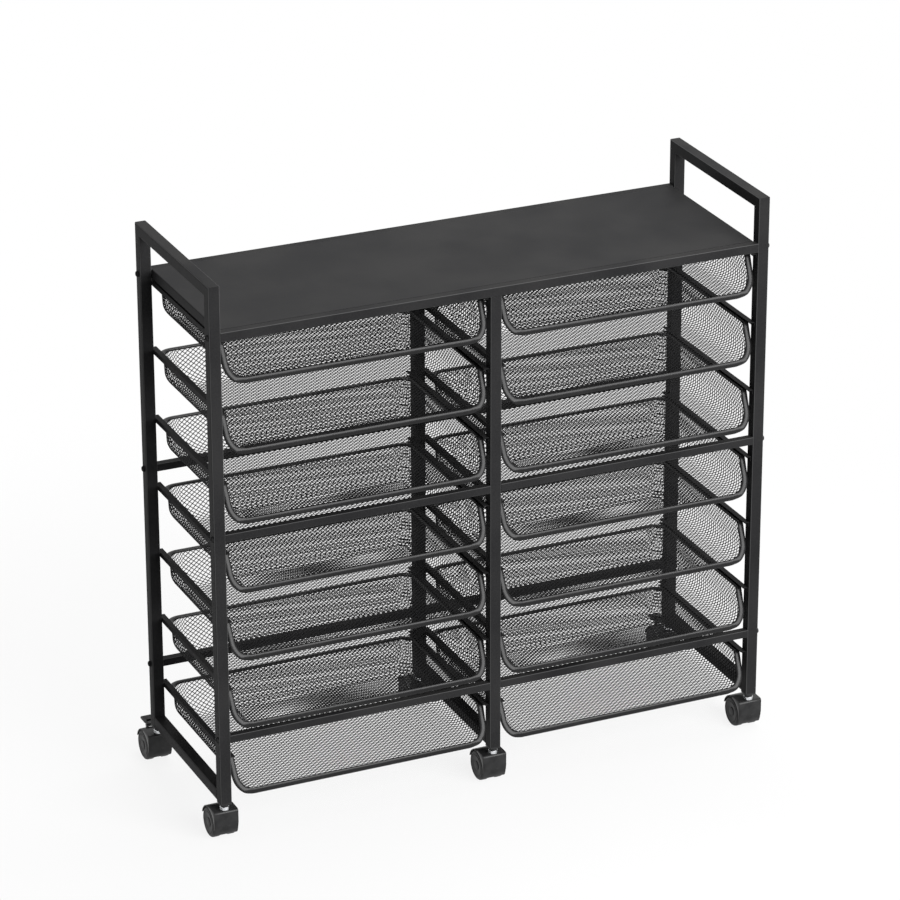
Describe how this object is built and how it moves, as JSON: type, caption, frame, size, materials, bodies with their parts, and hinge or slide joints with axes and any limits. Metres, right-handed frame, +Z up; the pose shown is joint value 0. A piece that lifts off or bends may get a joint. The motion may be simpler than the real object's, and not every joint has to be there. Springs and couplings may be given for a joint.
{
  "type": "rolling file cart",
  "caption": "Rolling file cart: columns of pull-out mesh trays on channel runners in a square-tube frame, with a guarded top shelf and swivel casters.",
  "frame": {"origin": "on the floor, in the middle of the cart's width and of its whole depth from the tray lips to the tips of the brake pedals", "axes": "+X to the right along the width as seen from the front, -Y out of the front where the trays are pulled, +Z up"},
  "size_m": [0.972, 0.3644, 0.938],
  "materials": {
    "frame_paint": "satin black powder coat on square steel tube",
    "runner_paint": "satin black powder coat on folded sheet",
    "mesh_paint": "satin black powder coat on expanded metal mesh",
    "rim_paint": "satin black powder coat on a rolled flat rim",
    "shelf_paint": "smooth black, half gloss",
    "bolt_black": "black oxide",
    "socket_plastic": "black nylon",
    "stem_zinc": "bright zinc plate",
    "hood_plastic": "moulded black nylon with a soft sheen",
    "wheel_plastic": "moulded black nylon, dulled tread",
    "pedal_plastic": "moulded black nylon"
  },
  "bodies": {
    "frame": {"left_front_post": "frame_paint", "left_rear_post": "frame_paint", "right_front_post": "frame_paint", "right_rear_post": "frame_paint", "middle_front_post": "frame_paint", "middle_rear_post": "frame_paint", "left_side_rails": "frame_paint", "right_side_rails": "frame_paint", "middle_bottom_rail": "frame_paint", "left_runners": "runner_paint", "middle_runners": "runner_paint", "right_runners": "runner_paint", "shelf_bars": "frame_paint", "shelf_panel": "shelf_paint", "cross_bars": "frame_paint", "frame_bolts": "bolt_black", "caster_sockets": "socket_plastic", "caster_stems": "stem_zinc"},
    "drawer_left_1": {"drawer_left_1_basket": "mesh_paint", "drawer_left_1_rim": "rim_paint"},
    "drawer_left_2": {"drawer_left_2_basket": "mesh_paint", "drawer_left_2_rim": "rim_paint"},
    "drawer_left_3": {"drawer_left_3_basket": "mesh_paint", "drawer_left_3_rim": "rim_paint"},
    "drawer_left_4": {"drawer_left_4_basket": "mesh_paint", "drawer_left_4_rim": "rim_paint"},
    "drawer_left_5": {"drawer_left_5_basket": "mesh_paint", "drawer_left_5_rim": "rim_paint"},
    "drawer_left_6": {"drawer_left_6_basket": "mesh_paint", "drawer_left_6_rim": "rim_paint"},
    "drawer_left_7": {"drawer_left_7_basket": "mesh_paint", "drawer_left_7_rim": "rim_paint"},
    "drawer_right_1": {"drawer_right_1_basket": "mesh_paint", "drawer_right_1_rim": "rim_paint"},
    "drawer_right_2": {"drawer_right_2_basket": "mesh_paint", "drawer_right_2_rim": "rim_paint"},
    "drawer_right_3": {"drawer_right_3_basket": "mesh_paint", "drawer_right_3_rim": "rim_paint"},
    "drawer_right_4": {"drawer_right_4_basket": "mesh_paint", "drawer_right_4_rim": "rim_paint"},
    "drawer_right_5": {"drawer_right_5_basket": "mesh_paint", "drawer_right_5_rim": "rim_paint"},
    "drawer_right_6": {"drawer_right_6_basket": "mesh_paint", "drawer_right_6_rim": "rim_paint"},
    "drawer_right_7": {"drawer_right_7_basket": "mesh_paint", "drawer_right_7_rim": "rim_paint"},
    "front_left_caster": {"front_left_caster_hood": "hood_plastic"},
    "front_left_wheels": {"front_left_caster_wheels": "wheel_plastic"},
    "rear_left_caster": {"rear_left_caster_hood": "hood_plastic"},
    "rear_left_wheels": {"rear_left_caster_wheels": "wheel_plastic"},
    "rear_left_brake": {"rear_left_brake_pedal": "pedal_plastic"},
    "front_middle_caster": {"front_middle_caster_hood": "hood_plastic"},
    "front_middle_wheels": {"front_middle_caster_wheels": "wheel_plastic"},
    "rear_middle_caster": {"rear_middle_caster_hood": "hood_plastic"},
    "rear_middle_wheels": {"rear_middle_caster_wheels": "wheel_plastic"},
    "front_right_caster": {"front_right_caster_hood": "hood_plastic"},
    "front_right_wheels": {"front_right_caster_wheels": "wheel_plastic"},
    "rear_right_caster": {"rear_right_caster_hood": "hood_plastic"},
    "rear_right_wheels": {"rear_right_caster_wheels": "wheel_plastic"},
    "rear_right_brake": {"rear_right_brake_pedal": "pedal_plastic"}
  },
  "joints": [
    {"name": "drawer_left_1_slide", "type": "slide", "parent": "frame", "child": "drawer_left_1", "axis": [0, -1, 0], "range_m": [0, 0.2]},
    {"name": "drawer_left_2_slide", "type": "slide", "parent": "frame", "child": "drawer_left_2", "axis": [0, -1, 0], "range_m": [0, 0.2]},
    {"name": "drawer_left_3_slide", "type": "slide", "parent": "frame", "child": "drawer_left_3", "axis": [0, -1, 0], "range_m": [0, 0.2]},
    {"name": "drawer_left_4_slide", "type": "slide", "parent": "frame", "child": "drawer_left_4", "axis": [0, -1, 0], "range_m": [0, 0.2]},
    {"name": "drawer_left_5_slide", "type": "slide", "parent": "frame", "child": "drawer_left_5", "axis": [0, -1, 0], "range_m": [0, 0.2]},
    {"name": "drawer_left_6_slide", "type": "slide", "parent": "frame", "child": "drawer_left_6", "axis": [0, -1, 0], "range_m": [0, 0.2]},
    {"name": "drawer_left_7_slide", "type": "slide", "parent": "frame", "child": "drawer_left_7", "axis": [0, -1, 0], "range_m": [0, 0.2]},
    {"name": "drawer_right_1_slide", "type": "slide", "parent": "frame", "child": "drawer_right_1", "axis": [0, -1, 0], "range_m": [0, 0.2]},
    {"name": "drawer_right_2_slide", "type": "slide", "parent": "frame", "child": "drawer_right_2", "axis": [0, -1, 0], "range_m": [0, 0.2]},
    {"name": "drawer_right_3_slide", "type": "slide", "parent": "frame", "child": "drawer_right_3", "axis": [0, -1, 0], "range_m": [0, 0.2]},
    {"name": "drawer_right_4_slide", "type": "slide", "parent": "frame", "child": "drawer_right_4", "axis": [0, -1, 0], "range_m": [0, 0.2]},
    {"name": "drawer_right_5_slide", "type": "slide", "parent": "frame", "child": "drawer_right_5", "axis": [0, -1, 0], "range_m": [0, 0.2]},
    {"name": "drawer_right_6_slide", "type": "slide", "parent": "frame", "child": "drawer_right_6", "axis": [0, -1, 0], "range_m": [0, 0.2]},
    {"name": "drawer_right_7_slide", "type": "slide", "parent": "frame", "child": "drawer_right_7", "axis": [0, -1, 0], "range_m": [0, 0.2]},
    {"name": "front_left_swivel", "type": "hinge", "parent": "frame", "child": "front_left_caster", "pos_m": [-0.4655, -0.16874, 0.054], "axis": [0, 0, 1], "continuous": true},
    {"name": "front_left_spin", "type": "hinge", "parent": "front_left_caster", "child": "front_left_wheels", "pos_m": [-0.4655, -0.14774, 0.025], "axis": [1, 0, 0], "continuous": true},
    {"name": "rear_left_swivel", "type": "hinge", "parent": "frame", "child": "rear_left_caster", "pos_m": [-0.4655, 0.12326, 0.054], "axis": [0, 0, 1], "continuous": true},
    {"name": "rear_left_spin", "type": "hinge", "parent": "rear_left_caster", "child": "rear_left_wheels", "pos_m": [-0.4655, 0.14426, 0.025], "axis": [1, 0, 0], "continuous": true},
    {"name": "rear_left_brake_press", "type": "hinge", "parent": "rear_left_caster", "child": "rear_left_brake", "pos_m": [-0.4655, 0.15504, 0.0546], "axis": [-1, 0, 0], "range_deg": [0, 20]},
    {"name": "front_middle_swivel", "type": "hinge", "parent": "frame", "child": "front_middle_caster", "pos_m": [0, -0.16874, 0.054], "axis": [0, 0, 1], "continuous": true},
    {"name": "front_middle_spin", "type": "hinge", "parent": "front_middle_caster", "child": "front_middle_wheels", "pos_m": [0, -0.14774, 0.025], "axis": [1, 0, 0], "continuous": true},
    {"name": "rear_middle_swivel", "type": "hinge", "parent": "frame", "child": "rear_middle_caster", "pos_m": [0, 0.12326, 0.054], "axis": [0, 0, 1], "continuous": true},
    {"name": "rear_middle_spin", "type": "hinge", "parent": "rear_middle_caster", "child": "rear_middle_wheels", "pos_m": [0, 0.14426, 0.025], "axis": [1, 0, 0], "continuous": true},
    {"name": "front_right_swivel", "type": "hinge", "parent": "frame", "child": "front_right_caster", "pos_m": [0.4655, -0.16874, 0.054], "axis": [0, 0, 1], "continuous": true},
    {"name": "front_right_spin", "type": "hinge", "parent": "front_right_caster", "child": "front_right_wheels", "pos_m": [0.4655, -0.14774, 0.025], "axis": [1, 0, 0], "continuous": true},
    {"name": "rear_right_swivel", "type": "hinge", "parent": "frame", "child": "rear_right_caster", "pos_m": [0.4655, 0.12326, 0.054], "axis": [0, 0, 1], "continuous": true},
    {"name": "rear_right_spin", "type": "hinge", "parent": "rear_right_caster", "child": "rear_right_wheels", "pos_m": [0.4655, 0.14426, 0.025], "axis": [1, 0, 0], "continuous": true},
    {"name": "rear_right_brake_press", "type": "hinge", "parent": "rear_right_caster", "child": "rear_right_brake", "pos_m": [0.4655, 0.15504, 0.0546], "axis": [-1, 0, 0], "range_deg": [0, 20]}
  ]
}
